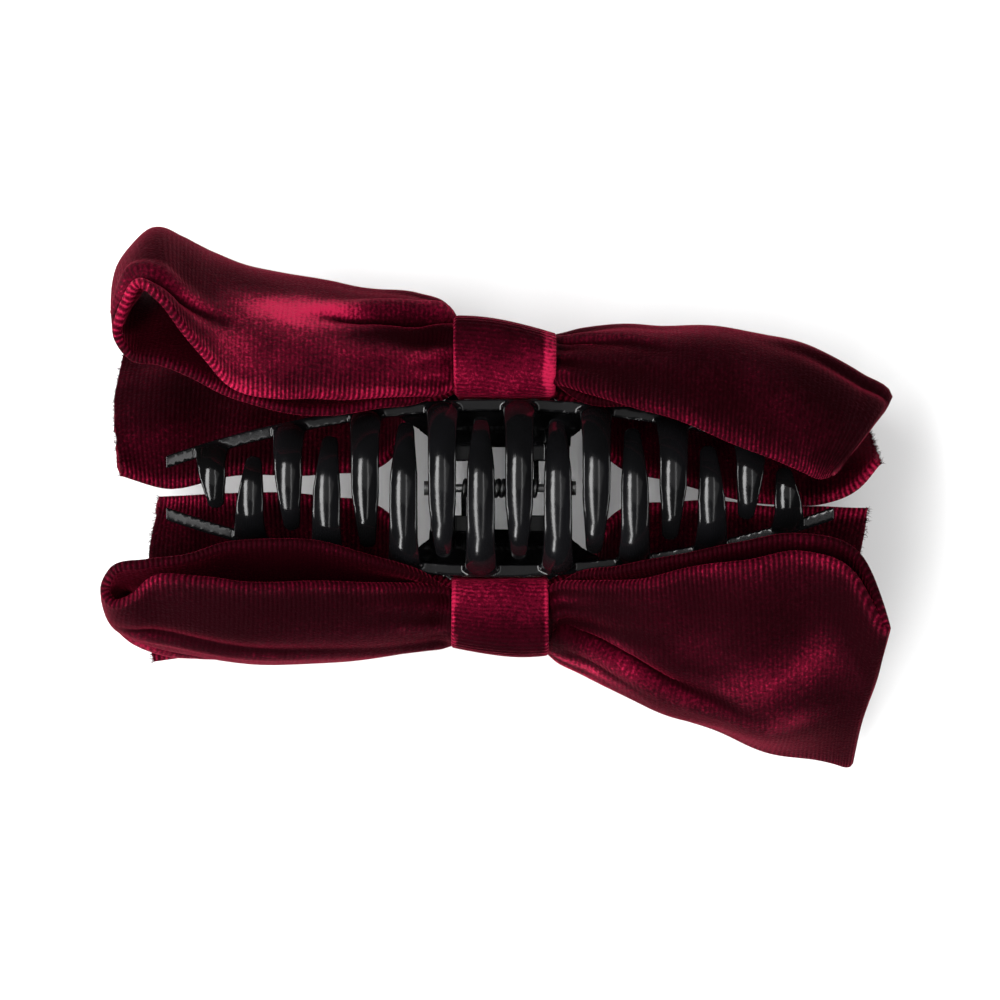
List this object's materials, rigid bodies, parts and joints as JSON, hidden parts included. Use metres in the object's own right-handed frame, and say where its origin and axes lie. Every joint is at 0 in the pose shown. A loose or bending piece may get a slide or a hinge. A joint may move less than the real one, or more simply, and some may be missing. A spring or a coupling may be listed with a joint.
{
  "type": "hair claw with velvet bows",
  "caption": "Two-jaw hair claw with interlocking curved teeth, a sprung centre hinge and a velvet ribbon bow glued along the outside of each jaw.",
  "frame": {"origin": "middle of the footprint, on the surface that the two lever ends stand on", "axes": "+X along the hinge; +Y from the front bow towards the back bow; +Z from the lever ends up to the teeth"},
  "size_m": [0.1324, 0.0926, 0.0474],
  "materials": {
    "jaw_plastic": "polished moulded black plastic",
    "pin_steel": "dull drawn wire",
    "spring_steel": "dark oiled spring wire",
    "ribbon_velvet": "burgundy ribbed velvet",
    "band_velvet": "burgundy ribbed velvet",
    "tie_thread": "gathering thread",
    "hot_glue": "set glue, slightly glossy"
  },
  "bodies": {
    "front_half": {"front_jaw": "jaw_plastic", "hinge_pin": "pin_steel", "torsion_spring": "spring_steel", "front_bow_ribbon": "ribbon_velvet", "front_bow_tails": "ribbon_velvet", "front_bow_band": "band_velvet", "front_bow_tie": "tie_thread", "front_bow_glue_pad": "hot_glue"},
    "back_half": {"back_jaw": "jaw_plastic", "back_bow_ribbon": "ribbon_velvet", "back_bow_tails": "ribbon_velvet", "back_bow_band": "band_velvet", "back_bow_tie": "tie_thread", "back_bow_glue_pad": "hot_glue"}
  },
  "joints": [
    {"name": "jaw_open", "type": "hinge", "parent": "front_half", "child": "back_half", "pos_m": [0, 0.002, 0.02], "axis": [-1, 0, 0], "range_deg": [0, 50], "stiffness_Nm_per_rad": 0.3, "springref_deg": -34.38, "deforming": ["torsion_spring"]}
  ]
}
